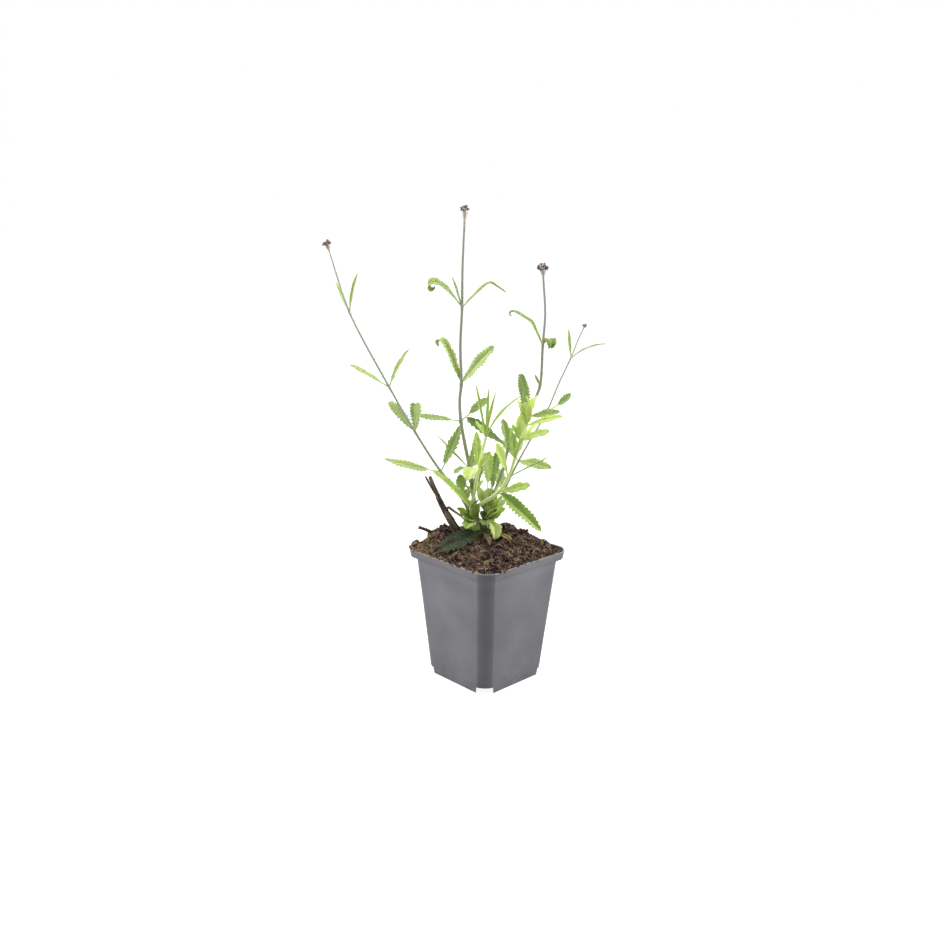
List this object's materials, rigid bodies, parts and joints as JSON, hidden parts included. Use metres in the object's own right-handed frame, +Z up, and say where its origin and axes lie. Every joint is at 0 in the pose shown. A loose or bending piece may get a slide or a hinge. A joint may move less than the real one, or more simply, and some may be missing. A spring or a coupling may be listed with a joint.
{
  "type": "potted verbena plant",
  "caption": "Young verbena with wiry square stems, narrow toothed leaves in pairs and small dark flower heads, in a square grey nursery pot full of dark peat",
  "frame": {"origin": "centre of the pot's underside, on the surface it stands on", "axes": "+Z up, X and Y square to the pot's flat sides; the pictured side faces +X -Y"},
  "size_m": [0.1259, 0.1713, 0.35],
  "materials": {
    "pot": "satin",
    "soil": "matte",
    "green": "satin",
    "young_green": "satin",
    "flower_head": "matte",
    "dead_leaf": "matte",
    "dead_wood": "matte"
  },
  "bodies": {
    "root": {"pot": "pot", "soil": "soil", "shoot_left": "green", "shoot_tall": "green", "shoot_right": "green", "shoot_far": "green", "shoot_low": "green", "shoot_young": "young_green", "head_left": "flower_head", "head_tall": "flower_head", "head_right": "flower_head", "head_far": "flower_head", "withered_leaf": "dead_leaf", "dead_leaf_right": "dead_leaf", "dead_leaf_front": "dead_leaf", "dead_stub": "dead_wood", "dead_twig": "dead_wood"}
  },
  "joints": []
}
